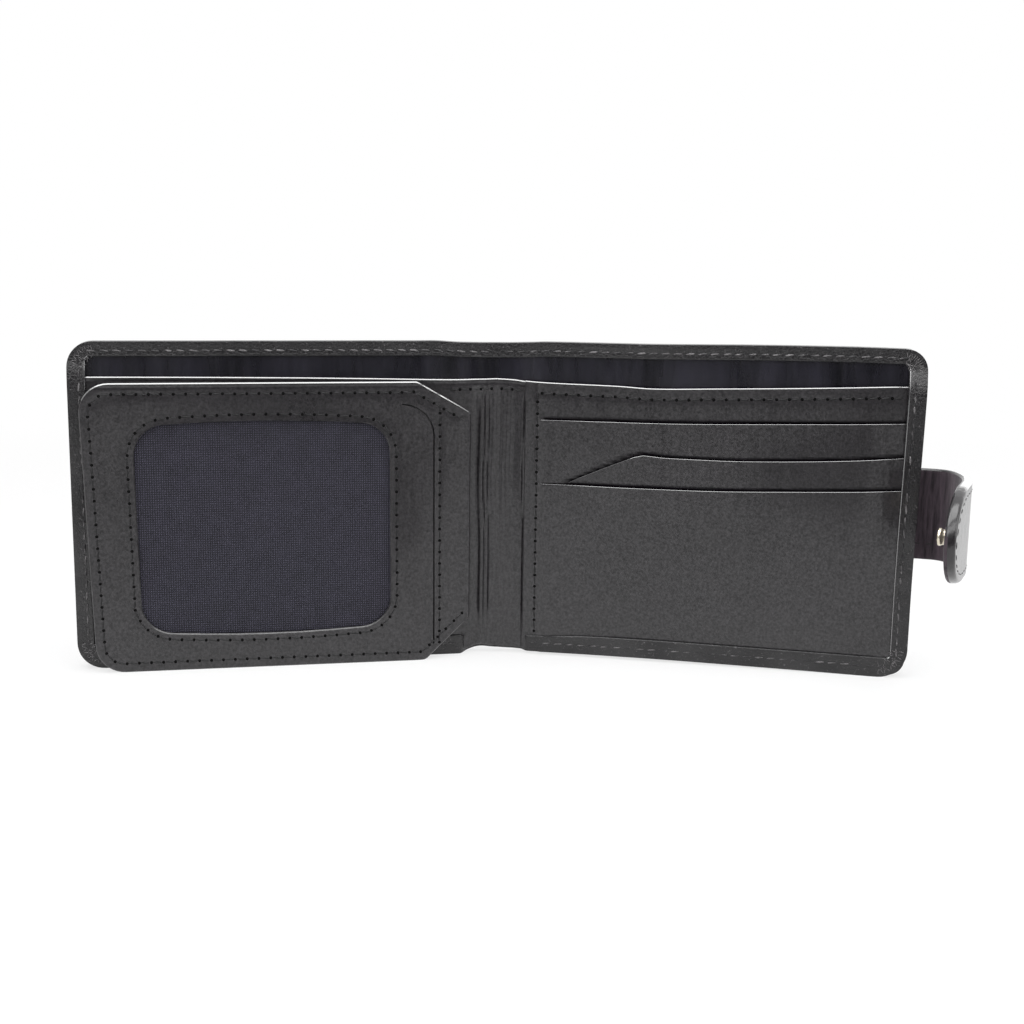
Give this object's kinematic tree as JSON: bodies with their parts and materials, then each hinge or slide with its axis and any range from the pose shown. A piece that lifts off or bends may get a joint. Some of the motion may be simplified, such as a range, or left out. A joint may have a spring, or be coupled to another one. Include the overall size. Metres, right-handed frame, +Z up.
{
  "type": "leather wallet",
  "caption": "Black leather bifold wallet with card slots, a turning window flap and a snap strap, standing open in a V.",
  "frame": {"origin": "centre of the open wallet's box, on the surface it stands on", "axes": "+Z up, +X along the open wallet towards the strap, +Y from the reader to the back of the spine"},
  "size_m": [0.2288, 0.0618, 0.0858],
  "materials": {
    "outer_leather": "glossy black, lightly crinkled grain",
    "inner_leather": "glossy black, fine smooth grain with black stitching",
    "suede_lining": "matt black suede",
    "note_lining": "thin glossy black lining leather",
    "woven_mesh": "matt navy-black nylon weave",
    "card_stiffener": "plain card",
    "snap_metal": "polished nickel, slightly warm"
  },
  "bodies": {
    "spine": {"spine_cover": "outer_leather", "spine_note_lining": "note_lining", "spine_divider": "inner_leather", "spine_top_hem": "outer_leather"},
    "left_wing": {"left_cover": "outer_leather", "left_stiffener": "card_stiffener", "left_note_lining": "note_lining", "left_divider": "inner_leather", "left_top_hem": "outer_leather", "left_side_hem": "outer_leather", "left_bottom_hem": "outer_leather", "slip_pocket": "inner_leather", "flap_hinge_strip": "inner_leather", "snap_socket": "snap_metal"},
    "right_wing": {"right_cover": "outer_leather", "right_stiffener": "card_stiffener", "right_note_lining": "note_lining", "right_divider": "inner_leather", "right_top_hem": "outer_leather", "right_side_hem": "outer_leather", "right_bottom_hem": "outer_leather", "card_panel": "inner_leather", "card_margin": "inner_leather", "card_slot_top": "inner_leather", "card_slot_middle": "inner_leather", "card_slot_front": "inner_leather", "strap_root_lining": "suede_lining", "strap_root_leather": "outer_leather"},
    "id_flap": {"flap_back": "inner_leather", "window_mesh": "woven_mesh", "flap_front": "inner_leather"},
    "strap_band": {"strap_band_lining": "suede_lining", "strap_band_leather": "outer_leather"},
    "strap_bend": {"strap_bend_lining": "suede_lining", "strap_bend_leather": "outer_leather"},
    "strap_tab": {"tab_lining": "suede_lining", "tab_core": "card_stiffener", "tab_leather": "outer_leather", "snap_stud": "snap_metal"}
  },
  "joints": [
    {"name": "left_fold", "type": "hinge", "parent": "spine", "child": "left_wing", "pos_m": [-0.01125, 0.02767, 0.0429], "axis": [0, 0, -1], "range_deg": [-80, 10]},
    {"name": "right_fold", "type": "hinge", "parent": "spine", "child": "right_wing", "pos_m": [0.00234, 0.02767, 0.0429], "axis": [0, 0, 1], "range_deg": [-79, 11]},
    {"name": "flap_hinge", "type": "hinge", "parent": "left_wing", "child": "id_flap", "pos_m": [-0.0115, 0.02447, 0.0429], "axis": [0, 0, 1], "range_deg": [0, 145]},
    {"name": "strap_root", "type": "hinge", "parent": "right_wing", "child": "strap_band", "pos_m": [0.10559, 0.01116, 0.0429], "axis": [0, 0, 1], "range_deg": [-82, 20]},
    {"name": "strap_bend", "type": "hinge", "parent": "strap_band", "child": "strap_bend", "pos_m": [0.1124, 0.00882, 0.0429], "axis": [0, 0, -1], "range_deg": [-80, 19.6]},
    {"name": "strap_tip", "type": "hinge", "parent": "strap_bend", "child": "strap_tab", "pos_m": [0.10974, -0.00797, 0.0429], "axis": [0, 0, 1], "range_deg": [-74, 16]}
  ],
  "couplings": [
    {"joint": "strap_bend", "follows": "strap_root", "ratio": 0.9756}
  ]
}
